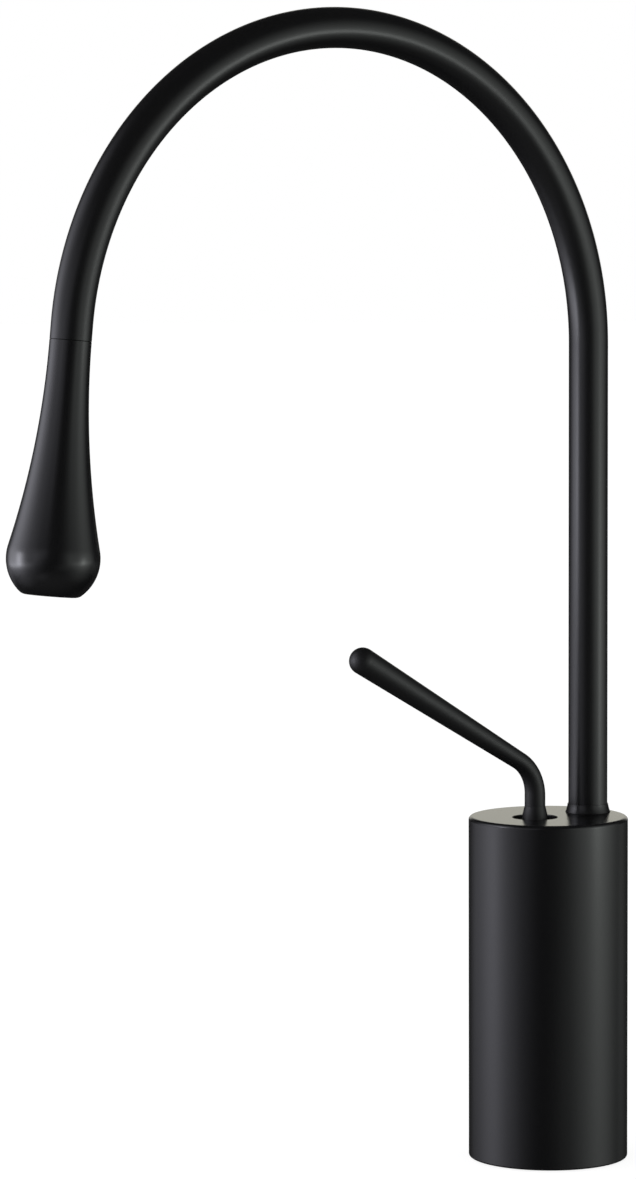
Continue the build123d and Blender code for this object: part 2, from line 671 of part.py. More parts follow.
with BuildPart() as swivel_spigot:
    with BuildSketch(Plane.XY.offset(spigot_bottom)):
        with Locations((0, spout_y)):
            Circle(spigot_radius)
    extrude(amount=spigot_top - spigot_bottom)
    with Locations((0, spout_y, spigot_top)):
        Hole(SPIGOT_BORE / 2, depth=spigot_top - cross_z + GALLERY_HEIGHT / 2)
    with BuildSketch(spout_section):
        with Locations((spigot_radius, cross_z)):
            Rectangle(2 * GALLERY_DEPTH, GALLERY_HEIGHT)
        for level in oring_levels:
            with Locations((spigot_radius, level)):
                Rectangle(2 * (spigot_radius - oring_groove), ORING_SECTION + 2 * SEAT)
    revolve(axis=spout_axis, mode=Mode.SUBTRACT)
    for turn in range(GALLERY_DRILLINGS):
        bearing = radians(180 / GALLERY_DRILLINGS * turn)
        across = (cos(bearing), sin(bearing), 0)
        with BuildSketch(Plane(origin=(0, spout_y, cross_z), x_dir=(0, 0, 1), z_dir=across)):
            Circle(GALLERY_HOLE_DIAMETER / 2)
        extrude(amount=spigot_radius, both=True, mode=Mode.SUBTRACT)
    with BuildSketch(Plane.XY.offset(spigot_bottom)):
        with Locations((0, spout_y)):
            Circle(SCREW_DIAMETER / 2)
    extrude(amount=SCREW_LENGTH, mode=Mode.SUBTRACT)

swivel_spigot.part.label = "swivel_spigot"
export_step(swivel_spigot.part, "parts/swivel_spigot.step")

with BuildPart() as spigot_orings:
    with BuildSketch(spout_section):
        for level in oring_levels:
            with Locations((oring_ring, level)):
                Circle(ORING_SECTION / 2)
    revolve(axis=spout_axis)

spigot_orings.part.label = "spigot_orings"
export_step(spigot_orings.part, "parts/spigot_orings.step")

with BuildPart() as spigot_washer:
    with BuildSketch(Plane.XY.offset(spigot_bottom)):
        with Locations((0, spout_y)):
            Circle(retaining_washer_radius)
            Circle(SCREW_DIAMETER / 2 + FIT, mode=Mode.SUBTRACT)
    extrude(amount=-RETAINING_WASHER_HEIGHT)

spigot_washer.part.label = "spigot_washer"
export_step(spigot_washer.part, "parts/spigot_washer.step")

screw_seat = spigot_bottom - RETAINING_WASHER_HEIGHT

with BuildPart() as spigot_screw:
    with BuildSketch(Plane.XY.offset(screw_seat)):
        with Locations((0, spout_y)):
            Circle(SCREW_HEAD_DIAMETER / 2)
    extrude(amount=-SCREW_HEAD_HEIGHT)
    with BuildSketch(Plane.XY.offset(screw_seat)):
        with Locations((0, spout_y)):
            Circle(SCREW_DIAMETER / 2 - SEAT)
    extrude(amount=RETAINING_WASHER_HEIGHT + SCREW_LENGTH - RUN)
    with BuildSketch(Plane.XY.offset(screw_seat - SCREW_HEAD_HEIGHT)):
        with Locations((0, spout_y)):
            RegularPolygon(SCREW_SOCKET_WIDTH / 2, 6, major_radius=False)
    extrude(amount=SCREW_SOCKET_DEPTH, mode=Mode.SUBTRACT)

spigot_screw.part.label = "spigot_screw"
export_step(spigot_screw.part, "parts/spigot_screw.step")

# Nozzle, drawn as radius across and distance from the seam along its axis. A long hollow curve
# runs out of the tube into the round of the bulb, which ends at the flat outlet.

seam = spout_path.line @ 1
outflow = spout_path.line % 1
nozzle_axis = Axis(seam, outflow)
nozzle_end = Plane(origin=seam, x_dir=(1, 0, 0), z_dir=outflow)
nozzle_section = Plane(origin=seam, x_dir=(1, 0, 0), z_dir=Vector(1, 0, 0).cross(outflow))
outlet_radius = OUTLET_DIAMETER / 2
bulb_across = BULB_DIAMETER / 2 - BULB_ROUND
bulb_along = NOZZLE_LENGTH - sqrt(BULB_ROUND**2 - (outlet_radius - bulb_across) ** 2)
tube_over_bulb = tube_radius - bulb_across
flare_radius = (tube_over_bulb**2 + bulb_along**2 - BULB_ROUND**2) / (2 * (BULB_ROUND - tube_over_bulb))
flare_angle = asin(bulb_along / (flare_radius + BULB_ROUND))
flare_end = (bulb_across + BULB_ROUND * cos(flare_angle), bulb_along - BULB_ROUND * sin(flare_angle))
connector_radius = spigot_radius
connector_socket = connector_radius + FIT
aerator_socket = outlet_radius - OUTLET_RIM
aerator_top = NOZZLE_LENGTH - AERATOR_DEPTH

with BuildPart() as nozzle:
    with BuildSketch(nozzle_section):
        with BuildLine():
            Polyline((0, NOZZLE_LENGTH), (0, 0), (tube_radius, 0))
            flare = TangentArc((tube_radius, 0), flare_end, tangent=(0, 1))
            TangentArc(flare_end, (outlet_radius, NOZZLE_LENGTH), tangent=flare % 1)
            Line((outlet_radius, NOZZLE_LENGTH), (0, NOZZLE_LENGTH))
        make_face()
    revolve(axis=nozzle_axis)
    fillet(nozzle.edges().sort_by(nozzle_axis)[-1], OUTLET_ROUND)
    with BuildSketch(nozzle_end):
        Circle(connector_socket)
    extrude(amount=CONNECTOR_IN_NOZZLE + RUN, mode=Mode.SUBTRACT)
    with BuildSketch(nozzle_end):
        Circle(NOZZLE_BORE / 2)
    extrude(amount=NOZZLE_LENGTH, mode=Mode.SUBTRACT)
    with BuildSketch(nozzle_end.offset(aerator_top)):
        Circle(aerator_socket)
    extrude(amount=AERATOR_DEPTH, mode=Mode.SUBTRACT)

nozzle.part.label = "nozzle"
export_step(nozzle.part, "parts/nozzle.step")

# The nipple fills the tube's straight tail and screws into the nozzle, sealed by an O-ring.

nozzle_oring_along = CONNECTOR_IN_NOZZLE - NOZZLE_ORING_INSET
nozzle_oring_groove = connector_socket - NOZZLE_ORING_SECTION - 2 * SEAT

with BuildPart() as nozzle_connector:
    with BuildSketch(nozzle_end.offset(-TUBE_TAIL)):
        Circle(connector_radius)
        Circle(CONNECTOR_BORE / 2, mode=Mode.SUBTRACT)
    extrude(amount=TUBE_TAIL + CONNECTOR_IN_NOZZLE)
    with BuildSketch(nozzle_section):
        with Locations((connector_radius, nozzle_oring_along)):
            Rectangle(2 * (connector_radius - nozzle_oring_groove), NOZZLE_ORING_SECTION + 2 * SEAT)
    revolve(axis=nozzle_axis, mode=Mode.SUBTRACT)

nozzle_connector.part.label = "nozzle_connector"
export_step(nozzle_connector.part, "parts/nozzle_connector.step")

with BuildPart() as nozzle_oring:
    with BuildSketch(nozzle_section):
        with Locations((nozzle_oring_groove + SEAT + NOZZLE_ORING_SECTION / 2, nozzle_oring_along)):
            Circle(NOZZLE_ORING_SECTION / 2)
    revolve(axis=nozzle_axis)

nozzle_oring.part.label = "nozzle_oring"
export_step(nozzle_oring.part, "parts/nozzle_oring.step")

# Mixing insert: a sealing ring, a threaded housing and a perforated screen on the housing's lip

aerator_radius = aerator_socket - SEAT
screen_seat = aerator_radius - AERATOR_WALL
screen_radius = screen_seat - SEAT
housing_top = aerator_top + AERATOR_SEAL_HEIGHT
lip_top = NOZZLE_LENGTH - AERATOR_RECESS - AERATOR_LIP_HEIGHT

with BuildPart() as aerator_seal:
    with BuildSketch(nozzle_end.offset(aerator_top)):
        Circle(aerator_radius)
        Circle(screen_seat, mode=Mode.SUBTRACT)
    extrude(amount=AERATOR_SEAL_HEIGHT)

aerator_seal.part.label = "aerator_seal"
export_step(aerator_seal.part, "parts/aerator_seal.step")

with BuildPart() as aerator_housing:
    with BuildSketch(nozzle_end.offset(housing_top)):
        Circle(aerator_radius)
        Circle(screen_seat, mode=Mode.SUBTRACT)
    extrude(amount=NOZZLE_LENGTH - AERATOR_RECESS - housing_top)
    with BuildSketch(nozzle_end.offset(lip_top)):
        Circle(screen_seat)
        Circle(screen_seat - AERATOR_LIP, mode=Mode.SUBTRACT)
    extrude(amount=AERATOR_LIP_HEIGHT)

aerator_housing.part.label = "aerator_housing"
export_step(aerator_housing.part, "parts/aerator_housing.step")

hole_reach = screen_seat - AERATOR_LIP - SCREEN_HOLE_DIAMETER / 2
hole_rows = 2 * int(screen_radius / SCREEN_HOLE_PITCH) + 3
screen_holes = [
    spot
    for spot in HexLocations(SCREEN_HOLE_PITCH / 2, hole_rows, hole_rows)
    if spot.position.length < hole_reach
]

with BuildPart() as aerator_screen:
    with BuildSketch(nozzle_end.offset(lip_top - SCREEN_THICKNESS)):
        Circle(screen_radius)
        with Locations(*screen_holes):
            Circle(SCREEN_HOLE_DIAMETER / 2, mode=Mode.SUBTRACT)
    extrude(amount=SCREEN_THICKNESS)

aerator_screen.part.label = "aerator_screen"
export_step(aerator_screen.part, "parts/aerator_screen.step")
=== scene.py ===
import json
from collections import namedtuple
from math import asin, atan2, cos, degrees, hypot, pi, radians, sin, sqrt, tan

import bmesh
import bpy
from mathutils import Matrix, Vector


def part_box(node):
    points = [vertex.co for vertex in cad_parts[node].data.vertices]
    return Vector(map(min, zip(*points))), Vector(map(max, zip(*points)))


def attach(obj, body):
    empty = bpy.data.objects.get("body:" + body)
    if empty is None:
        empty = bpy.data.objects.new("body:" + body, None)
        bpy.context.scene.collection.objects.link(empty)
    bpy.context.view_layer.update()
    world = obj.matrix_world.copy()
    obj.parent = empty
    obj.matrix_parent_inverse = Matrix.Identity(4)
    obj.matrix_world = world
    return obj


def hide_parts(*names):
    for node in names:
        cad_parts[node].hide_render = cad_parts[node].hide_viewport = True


# The object's lengths are in millimetres up to the finished meshes, and angles in degrees.
MM = 0.001
UP = Vector((0, 0, 1))
ACROSS = Vector((1, 0, 0))

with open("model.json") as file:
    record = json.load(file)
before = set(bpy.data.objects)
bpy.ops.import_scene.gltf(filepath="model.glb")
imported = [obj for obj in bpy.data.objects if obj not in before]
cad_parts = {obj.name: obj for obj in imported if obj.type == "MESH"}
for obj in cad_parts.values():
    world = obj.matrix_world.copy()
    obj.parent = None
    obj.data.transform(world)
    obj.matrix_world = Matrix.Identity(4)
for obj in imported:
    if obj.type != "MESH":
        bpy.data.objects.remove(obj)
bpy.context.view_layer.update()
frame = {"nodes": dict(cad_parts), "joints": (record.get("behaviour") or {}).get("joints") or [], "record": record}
joint_place = {
    joint["name"]: Vector(joint["pos_m"]) / MM for joint in frame["joints"] if "pos_m" in joint
}
spout_y = joint_place["spout_swivel"].y
lever_y = joint_place["lever_turn"].y

# Column
COLUMN_RADIUS = 25.0
COLUMN_HEIGHT = 108.0
COLUMN_WALL = 2.0
COLUMN_TOP = 3.0
COLUMN_TOP_ROUND = 1.2
COLUMN_FOOT_ROUND = 0.6
LEVER_HOLE_RADIUS = 7.05
HOLE_EDGE_ROUND = 0.3

# Spout
TUBE_RADIUS = 6.15
TUBE_WALL = 1.2
TUBE_BOTTOM = 105.8
ARCH_SPRING_HEIGHT = 256.0
ARCH_RADIUS = 97.0
ARCH_SWEEP = 174.0
TUBE_TAIL = 4.6
COLLAR_HEIGHT = 2.7
COLLAR_FOOT = 0.95
COLLAR_WAIST = 0.48
COLLAR_LIP = 0.25
RUNNING_GAP = 0.05
SEAM_CHAMFER = 0.12

# Nozzle, along its own axis from the seam
NOZZLE_LENGTH = 74.4
BULB_RADIUS = 13.75
BULB_ROUND = 13.5
OUTLET_RADIUS = 8.2
OUTLET_ROUND = 3.0
AERATOR_SOCKET = 6.2
AERATOR_DEPTH = 12.5
NOZZLE_BORE = 4.0
CONNECTOR_SOCKET = 4.98
CONNECTOR_DEPTH = 12.3

# Lever
STEM_RADIUS = 3.25
NECK_RADIUS = 2.85
TIP_RADIUS = 4.2
LEVER_CORNER_HEIGHT = 14.6
LEVER_BEND_RADIUS = 13.0
HANDLE_LENGTH = 77.6
HANDLE_RISE = 30.0
FERRULE_RADIUS = 3.9
FERRULE_SHOW = 3.5
FERRULE_STRAIGHT = 1.0
STUD_HOLE_RADIUS = 2.02
STUD_HOLE_DEPTH = 6.8
bend_turn = 90 - HANDLE_RISE
bend_tangent = LEVER_BEND_RADIUS * tan(radians(bend_turn / 2))

# Fineness of the meshes
COLUMN_SIDES = 192
TUBE_SIDES = 96
FLOOR_SIDES = 96
EDGE_STEPS = 8
ARCH_STEPS = 140
FLARE_STEPS = 32
BULB_STEPS = 48
BEND_STEPS = 24
TIP_STEPS = 24
SHARP_ANGLE = 40.0

# Grain of all materials: the noise's detail, the range that it mostly keeps to, and for a plain surface
# how many grains lie in a metre and how deep they are in metres
GRAIN_DETAIL = 3
GRAIN_RANGE = (0.3, 0.7)
PLAIN_GRAIN = 900
PLAIN_RELIEF = 4e-6

# Black paint, and the roughness of its three finishes
BLACK_PAINT = {
    "shades": ((0.003, 0.003, 0.0033), (0.006, 0.006, 0.0065)),
    "grain": 5000,
    "relief": 5e-7,
}
SMOOTH_ROUGHNESS = (0.21, 0.24)
SATIN_ROUGHNESS = (0.28, 0.32)
SOFT_ROUGHNESS = (0.45, 0.49)

# Materials of the inner pieces, by the record's slots
INNER_MATERIALS = {
    "brass": {
        "shades": ((0.62, 0.42, 0.17), (0.78, 0.56, 0.27)),
        "roughness": (0.24, 0.42),
        "metallic": 1.0,
        "grain": 500,
    },
    "stainless_steel": {
        "shades": ((0.5, 0.5, 0.5), (0.66, 0.66, 0.65)),
        "roughness": (0.25, 0.4),
        "metallic": 1.0,
        "grain": 700,
        "relief": 3e-6,
        "stretch": (1, 1, 8),
    },
    "rubber": {
        "shades": ((0.012, 0.012, 0.012), (0.025, 0.025, 0.025)),
        "roughness": (0.7, 0.85),
    },
    "ceramic": {
        "shades": ((0.78, 0.76, 0.7), (0.86, 0.85, 0.8)),
        "roughness": (0.18, 0.3),
        "grain": 1500,
    },
    "plastic": {
        "shades": ((0.6, 0.6, 0.58), (0.68, 0.68, 0.66)),
        "roughness": (0.4, 0.55),
        "grain": 1200,
    },
}

# Camera, in millimetres and degrees. Its focal length and the photograph's height are in pixels.
CAMERA_DISTANCE = 1520.918
CAMERA_AZIMUTH = 51.083
CAMERA_HEIGHT = 312.761
CAMERA_YAW = 2.716
CAMERA_PITCH = 5.010
CAMERA_ROLL = -0.2
FOCAL_PIXELS = 4874.251
PHOTO_HEIGHT = 1179
SENSOR = 36.0

# Studio: metres, and brightness where white is 1. FLOOR_SHADE is the share of the floor's white that
# the object's shadow can take away.
WHITE = (1, 1, 1)
EVEN_LIGHT = 0.8
FLOOR_RADIUS = 8.0
FLOOR_GAP = 0.0003
FLOOR_SHADE = 0.15
FLOOR_COLOUR = 0.22

# What the paint mirrors: a dim room, a backdrop and the ground before the object. The backdrop's first
# two angles are turns from straight behind the object, and the other angles are elevations. The ground
# is dark where a direction's cosine to straight behind reaches GROUND_BACK, and full at its opposite.
ROOM_LIGHT = 0.03
BACKDROP_FULL = 10
BACKDROP_END = 28
BACKDROP_FOOT = 1.5
BACKDROP_FADE = 16
BACKDROP_TOP = 32
BACKDROP_TINT = (1.0, 0.98, 0.86)
GROUND_EDGE = -16
GROUND_FULL = -45
GROUND_LIGHT = 0.14
GROUND_BACK = 0.5

# Lamps of each side, with the side's colour. A lamp has its turn to the right of the camera in degrees,
# its distance, its lower and upper edge, the height of its brightest point, how far its light fades out
# across and upwards from there, and its brightness. The floor lets the light of lamps below it through.
Lamp = namedtuple("Lamp", "turn distance span peak fade brightness")
LEFT_COLOUR = (0.9, 0.9, 1.0)
LEFT_LAMPS = (
    Lamp(-78, 0.38, (0.14, 0.8), 0.19, (0.38, 0.6), 2.5),
    Lamp(-68, 0.38, (0.155, 0.24), 0.19, (0.085, 0.3), 7.2),
    Lamp(-92, 0.75, (0.05, 0.9), 0.12, (0.8, 0.9), 0.8),
    Lamp(-84, 1.5, (-0.45, 0.0), -0.06, (1.8, 0.8), 2.6),
    Lamp(-80, 1.5, (-1.8, -0.4), -0.4, (2.0, 1.6), 0.8),
    Lamp(-38, 1.5, (-0.5, 1.4), 0.4, (0.9, 1.2), 0.8),
    Lamp(-128, 1.5, (-0.5, 0.0), -0.15, (0.8, 0.6), 0.4),
    Lamp(-50, 1.5, (-0.6, -0.05), -0.25, (0.6, 0.5), 0.2),
    Lamp(-30, 1.5, (-1.6, -0.6), -0.9, (0.8, 0.7), 0.3),
    Lamp(-21, 1.5, (0.2, 1.4), 0.7, (0.55, 0.8), 0.38),
)
RIGHT_COLOUR = (0.95, 1.0, 0.97)
RIGHT_LAMPS = (
    Lamp(76, 0.75, (0.03, 1.0), 0.12, (1.0, 1.0), 1.5),
    Lamp(74, 0.75, (0.03, 0.26), 0.06, (0.2, 0.24), 3.2),
    Lamp(76, 1.5, (-0.45, 0.0), -0.06, (1.8, 0.8), 1.75),
    Lamp(76, 1.5, (-1.8, -0.4), -0.4, (2.0, 1.6), 0.6),
    Lamp(40, 1.5, (-0.5, 1.4), 0.3, (0.9, 1.2), 0.55),
    Lamp(128, 1.5, (-0.5, 0.0), -0.15, (0.8, 0.6), 0.25),
    Lamp(22, 1.5, (-0.6, -0.05), -0.25, (0.87, 0.5), 0.2),
)


# Curves

def arc(centre, radius, start, end, steps=EDGE_STEPS):
    """Points of an arc in a flat section, from one angle to another."""
    turns = [radians(start + (end - start) * i / steps) for i in range(steps + 1)]
    return [(centre[0] + radius * cos(turn), centre[1] + radius * sin(turn)) for turn in turns]


def arc_through(first, middle, last):
    """Points of the arc through three points, whose centre is equally far from all three."""
    first, middle, last = Vector(first), Vector(middle), Vector(last)
    # For each chord, being equally far from its two ends is one linear equation
    chords = Matrix((middle - first, last - middle))
    growth = Vector((
        middle.length_squared - first.length_squared,
        last.length_squared - middle.length_squared,
    ))
    centre = chords.inverted() @ growth / 2
    start, end = (degrees(atan2(point.y - centre.y, point.x - centre.x)) for point in (first, last))
    turn = (end - start + 180) % 360 - 180
    return arc(centre, (first - centre).length, start, start + turn)


def bend(foot, radius, sweep, steps):
    """Points and directions along a bend that starts upright at its foot and leans to the front."""
    centre = foot - Vector((0, radius, 0))
    stations = []
    for i in range(steps + 1):
        turn = radians(sweep * i / steps)
        spot = centre + radius * Vector((0, cos(turn), sin(turn)))
        stations.append((spot, Vector((0, -sin(turn), cos(turn)))))
    return stations


# Meshes

def ring(mesh, centre, direction, radius, sides=TUBE_SIDES):
    """A ring of vertices round a direction that is square to the X axis."""
    third = direction.cross(ACROSS).normalized()
    turns = [2 * pi * i / sides for i in range(sides)]
    return [
        mesh.verts.new(centre + radius * (cos(turn) * ACROSS + sin(turn) * third)) for turn in turns
    ]


def skin(mesh, rings, closed=False):
    """Faces between each ring and the next."""
    following = rings[1:] + rings[:1] if closed else rings[1:]
    for low, high in zip(rings, following):
        for i in range(len(low)):
            j = (i + 1) % len(low)
            mesh.faces.new((low[i], low[j], high[j], high[i]))


def close_end(mesh, loop, centre):
    """A fan of faces between a ring and a point."""
    pole = mesh.verts.new(centre)
    for i in range(len(loop)):
        mesh.faces.new((loop[i - 1], loop[i], pole))


def loop_edges(mesh, loop):
    """The edges along a ring."""
    return [mesh.edges.get((loop[i], loop[i - 1])) for i in range(len(loop))]


def turned(mesh, profile, foot, direction, sides=TUBE_SIDES):
    """Rings of a turned surface, from points of radius and distance along the axis."""
    return [
        ring(mesh, foot + direction * along, direction, radius, sides) for radius, along in profile
    ]


def finished(mesh, name, material, body, node):
    """Makes a mesh a smooth black piece that stands for a CAD node and rides on its body."""
    bmesh.ops.recalc_face_normals(mesh, faces=mesh.faces)
    data = bpy.data.meshes.new(name)
    mesh.to_mesh(data)
    mesh.free()
    data.transform(Matrix.Scale(MM, 4))
    data.shade_smooth()
    data.set_sharp_from_angle(angle=radians(SHARP_ANGLE))
    data.materials.append(material)
    piece = bpy.data.objects.new(name, data)
    bpy.context.scene.collection.objects.link(piece)
    normals = piece.modifiers.new("even_normals", "WEIGHTED_NORMAL")
    normals.keep_sharp = True
    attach(piece, body)
    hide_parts(node)


# Pieces

def make_column(material):
    """The column: a closed-topped shell with rounded edges and holes for the lever and the spout."""
    mesh = bmesh.new()
    bore = COLUMN_RADIUS - COLUMN_WALL
    ceiling = COLUMN_HEIGHT - COLUMN_TOP
    top_centre = (COLUMN_RADIUS - COLUMN_TOP_ROUND, COLUMN_HEIGHT - COLUMN_TOP_ROUND)
    foot_centre = (COLUMN_RADIUS - COLUMN_FOOT_ROUND, COLUMN_FOOT_ROUND)
    shell = arc(top_centre, COLUMN_TOP_ROUND, 90, 0)
    shell += arc(foot_centre, COLUMN_FOOT_ROUND, 0, -90)
    shell += [(bore, 0), (bore, ceiling)]
    edge_centre = (LEVER_HOLE_RADIUS + HOLE_EDGE_ROUND, COLUMN_HEIGHT - HOLE_EDGE_ROUND)
    lever_hole = arc(edge_centre, HOLE_EDGE_ROUND, 90, 180) + [(LEVER_HOLE_RADIUS, ceiling)]
    spout_radius = TUBE_RADIUS + RUNNING_GAP
    spout_hole = [(spout_radius, COLUMN_HEIGHT), (spout_radius, ceiling)]
    surfaces = [
        turned(mesh, shell, Vector(), UP, COLUMN_SIDES),
        turned(mesh, lever_hole, Vector((0, lever_y, 0)), UP),
        turned(mesh, spout_hole, Vector((0, spout_y, 0)), UP),
    ]
    for rings in surfaces:
        skin(mesh, rings)
    for level in (0, -1):
        edges = [edge for rings in surfaces for edge in loop_edges(mesh, rings[level])]
        bmesh.ops.triangle_fill(mesh, edges=edges, use_beauty=True)
    finished(mesh, "column", material, "base", "column_shell")


def spout_line():
    """Points and directions along the middle of the tube, from its foot to the bevel at the seam."""
    foot = Vector((0, spout_y, TUBE_BOTTOM))
    arch = bend(Vector((0, spout_y, ARCH_SPRING_HEIGHT)), ARCH_RADIUS, ARCH_SWEEP, ARCH_STEPS)
    last, outflow = arch[-1]
    end = last + outflow * (TUBE_TAIL - SEAM_CHAMFER)
    return [(foot, UP), *arch, (end, outflow)]


def seam_place():
    """The middle of the seam between tube and nozzle, and the direction of flow there."""
    end, outflow = spout_line()[-1]
    return end + outflow * SEAM_CHAMFER, outflow


def make_spout(material):
    """The swan-neck tube, with a small bevel at the seam to the nozzle."""
    mesh = bmesh.new()
    line = spout_line()
    seam, outflow = seam_place()
    bore = TUBE_RADIUS - TUBE_WALL
    rings = [ring(mesh, spot, way, TUBE_RADIUS) for spot, way in line]
    rings.append(ring(mesh, seam, outflow, TUBE_RADIUS - SEAM_CHAMFER))
    rings.append(ring(mesh, seam, outflow, bore))
    rings += [ring(mesh, spot, way, bore) for spot, way in reversed(line)]
    skin(mesh, rings, closed=True)
    finished(mesh, "spout", material, "spout", "spout_tube")


def make_collar(material):
    """The low flared ring round the tube's foot, which turns just clear of the column's top."""
    mesh = bmesh.new()
    inner = TUBE_RADIUS + RUNNING_GAP
    foot = (TUBE_RADIUS + COLLAR_FOOT, RUNNING_GAP)
    waist = (TUBE_RADIUS + COLLAR_WAIST, COLLAR_HEIGHT / 2)
    lip = (TUBE_RADIUS + COLLAR_LIP, COLLAR_HEIGHT)
    profile = arc_through(foot, waist, lip) + [(inner, COLLAR_HEIGHT), (inner, RUNNING_GAP)]
    base = Vector((0, spout_y, COLUMN_HEIGHT))
    skin(mesh, turned(mesh, profile, base, UP), closed=True)
    finished(mesh, "collar", material, "spout", "spout_collar")


def nozzle_outline():
    """The nozzle's outside: a hollow flare, the bulb and the outlet's edge, tangent to each other."""
    bulb_across = BULB_RADIUS - BULB_ROUND
    bulb_along = NOZZLE_LENGTH - sqrt(BULB_ROUND**2 - (OUTLET_RADIUS - bulb_across) ** 2)
    tube_over = TUBE_RADIUS - bulb_across
    flare = (tube_over**2 + bulb_along**2 - BULB_ROUND**2) / (2 * (BULB_ROUND - tube_over))
    flare_turn = degrees(asin(bulb_along / (flare + BULB_ROUND)))
    edge_along = NOZZLE_LENGTH - OUTLET_ROUND
    edge_past = edge_along - bulb_along
    edge_over = sqrt((BULB_ROUND - OUTLET_ROUND) ** 2 - edge_past**2)
    bulb_turn = degrees(atan2(edge_past, edge_over))
    outline = arc((TUBE_RADIUS + flare, 0), flare, 180, 180 - flare_turn, FLARE_STEPS)
    outline += arc((bulb_across, bulb_along), BULB_ROUND, -flare_turn, bulb_turn, BULB_STEPS)[1:]
    outline += arc((bulb_across + edge_over, edge_along), OUTLET_ROUND, bulb_turn, 90)[1:]
    return outline


def make_nozzle(material):
    """The drop-shaped nozzle, hollow for its nipple, its bore and its mixing insert."""
    mesh = bmesh.new()
    socket_top = NOZZLE_LENGTH - AERATOR_DEPTH
    profile = [(TUBE_RADIUS - SEAM_CHAMFER, 0), (TUBE_RADIUS, SEAM_CHAMFER)]
    profile += nozzle_outline()[1:]
    profile += [(AERATOR_SOCKET, NOZZLE_LENGTH), (AERATOR_SOCKET, socket_top)]
    profile += [(NOZZLE_BORE, socket_top), (NOZZLE_BORE, CONNECTOR_DEPTH)]
    profile += [(CONNECTOR_SOCKET, CONNECTOR_DEPTH), (CONNECTOR_SOCKET, 0)]
    seam, outflow = seam_place()
    skin(mesh, turned(mesh, profile, seam, outflow), closed=True)
    finished(mesh, "drop_nozzle", material, "spout", "nozzle")


def handle_outline():
    """The handle's outside from the neck on: a cone, tangent to its round tip."""
    length = HANDLE_LENGTH - bend_tangent
    slope = asin(TIP_RADIUS / hypot(length, NECK_RADIUS)) - atan2(NECK_RADIUS, length)
    return arc((0, length), TIP_RADIUS, -degrees(slope), 90, TIP_STEPS)


def make_lever(material):
    """The bent rod: an upright stem, a bend that thins to the neck, and the handle with its tip."""
    mesh = bmesh.new()
    foot = Vector((0, lever_y, COLUMN_HEIGHT + FERRULE_SHOW))
    hole_top = foot + UP * STUD_HOLE_DEPTH
    bend_foot = Vector((0, lever_y, COLUMN_HEIGHT + LEVER_CORNER_HEIGHT - bend_tangent))
    stations = bend(bend_foot, LEVER_BEND_RADIUS, bend_turn, BEND_STEPS)
    rings = [
        ring(mesh, hole_top, UP, STUD_HOLE_RADIUS),
        ring(mesh, foot, UP, STUD_HOLE_RADIUS),
        ring(mesh, foot, UP, STEM_RADIUS),
    ]
    for i, (spot, way) in enumerate(stations):
        radius = STEM_RADIUS + (NECK_RADIUS - STEM_RADIUS) * i / BEND_STEPS
        rings.append(ring(mesh, spot, way, radius))
    neck, outward = stations[-1]
    *outline, (_, tip) = handle_outline()
    rings += turned(mesh, outline, neck, outward)
    skin(mesh, rings)
    close_end(mesh, rings[0], hole_top)
    close_end(mesh, rings[-1], neck + outward * tip)
    finished(mesh, "lever", material, "lever", "lever_handle")


def make_ferrule(material):
    """The short flared ring at the lever's foot."""
    mesh = bmesh.new()
    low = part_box("lever_ferrule")[0].z / MM
    edge = COLUMN_HEIGHT + FERRULE_STRAIGHT
    top = COLUMN_HEIGHT + FERRULE_SHOW
    profile = [(STUD_HOLE_RADIUS, top), (STUD_HOLE_RADIUS, low), (FERRULE_RADIUS, low)]
    profile += [(FERRULE_RADIUS, edge), (STEM_RADIUS, top)]
    skin(mesh, turned(mesh, profile, Vector((0, lever_y, 0)), UP), closed=True)
    finished(mesh, "lever_foot", material, "lever", "lever_ferrule")


# Shader nodes

def noise(tree, scale, stretch):
    """A noise in the piece's own metres, stretched along its axes."""
    place = tree.nodes.new("ShaderNodeTexCoord")
    mapping = tree.nodes.new("ShaderNodeMapping")
    mapping.inputs["Scale"].default_value = stretch
    texture = tree.nodes.new("ShaderNodeTexNoise")
    texture.inputs["Scale"].default_value = scale
    texture.inputs["Detail"].default_value = GRAIN_DETAIL
    tree.links.new(place.outputs["Object"], mapping.inputs["Vector"])
    tree.links.new(mapping.outputs["Vector"], texture.inputs["Vector"])
    return texture.outputs["Fac"]


def colour_between(tree, value, span, colours):
    """A colour that goes from one to another as a value goes through a span."""
    node = tree.nodes.new("ShaderNodeValToRGB")
    for element, position, colour in zip(node.color_ramp.elements, span, colours):
        element.position = position
        element.color = (*colour, 1)
    tree.links.new(value, node.inputs["Fac"])
    return node.outputs["Color"]


def number_between(tree, value, span, ends=(0, 1), interpolation="LINEAR"):
    """A number that goes from one end to the other as a value goes through a span."""
    node = tree.nodes.new("ShaderNodeMapRange")
    node.interpolation_type = interpolation
    for name, number in zip(("From Min", "From Max", "To Min", "To Max"), (*span, *ends)):
        node.inputs[name].default_value = number
    tree.links.new(value, node.inputs["Value"])
    return node.outputs["Result"]


def combined(tree, operation, first, second):
    """Two values joined by an arithmetic operation; either may be a plain number."""
    node = tree.nodes.new("ShaderNodeMath")
    node.operation = operation
    for value, socket in zip((first, second), node.inputs):
        if isinstance(value, (int, float)):
            socket.default_value = value
        else:
            tree.links.new(value, socket)
    return node.outputs["Value"]


def add_bump(tree, shader, value, depth):
    """Fine relief of a depth in metres."""
    node = tree.nodes.new("ShaderNodeBump")
    node.inputs["Strength"].default_value = 1.0
    node.inputs["Distance"].default_value = depth
    tree.links.new(value, node.inputs["Height"])
    tree.links.new(node.outputs["Normal"], shader.inputs["Normal"])


# Materials

